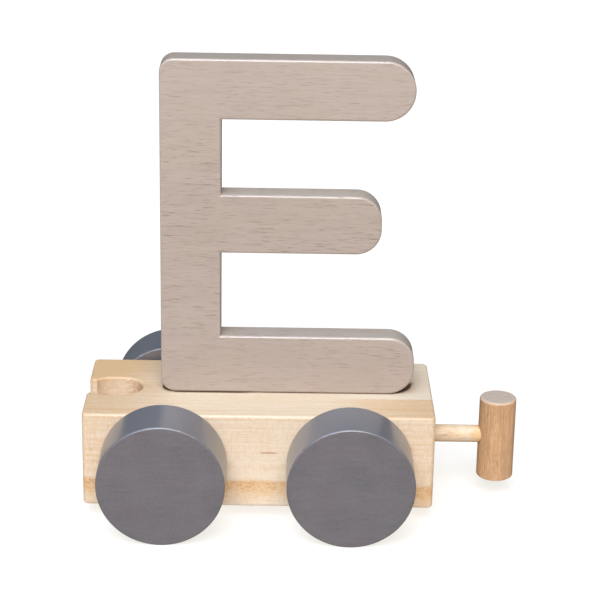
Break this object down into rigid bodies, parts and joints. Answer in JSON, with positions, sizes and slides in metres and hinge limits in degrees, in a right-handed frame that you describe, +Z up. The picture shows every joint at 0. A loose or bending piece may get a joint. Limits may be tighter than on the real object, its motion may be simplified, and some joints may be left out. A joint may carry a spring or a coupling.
{
  "type": "wooden letter train wagon",
  "caption": "Wooden toy wagon: a painted letter E stands on a plain block that rolls on painted wheels, with a hitch peg at one end and a keyhole socket at the other.",
  "frame": {"origin": "on the floor that the wheels stand on, below the middle of the wagon's overall box", "axes": "+Z up, +X along the block towards the hitch peg (the front), -Y towards the side from which the letter reads"},
  "size_m": [0.0936, 0.0572, 0.0977],
  "materials": {
    "block_wood": "sanded bare pale wood, straight grain along the block",
    "letter_paint": "thin satin taupe paint over open-pored wood",
    "wheel_paint": "satin warm grey paint on turned wood",
    "dowel_wood": "bare dowel stock",
    "rod_wood": "bare pale dowel, straight grain",
    "peg_wood": "bare tan dowel, upright grain"
  },
  "bodies": {
    "wagon": {"base_block": "block_wood", "letter": "letter_paint", "letter_dowel_front": "dowel_wood", "letter_dowel_rear": "dowel_wood", "hitch_rod": "rod_wood", "hitch_peg": "peg_wood"},
    "front_wheelset": {"front_axle": "dowel_wood", "front_left_wheel": "wheel_paint", "front_right_wheel": "wheel_paint"},
    "rear_wheelset": {"rear_axle": "dowel_wood", "rear_left_wheel": "wheel_paint", "rear_right_wheel": "wheel_paint"}
  },
  "joints": [
    {"name": "front_roll", "type": "hinge", "parent": "wagon", "child": "front_wheelset", "pos_m": [0.01005, 0, 0.0134], "axis": [0, 1, 0], "continuous": true},
    {"name": "rear_roll", "type": "hinge", "parent": "wagon", "child": "rear_wheelset", "pos_m": [-0.02945, 0, 0.0134], "axis": [0, 1, 0], "continuous": true}
  ]
}
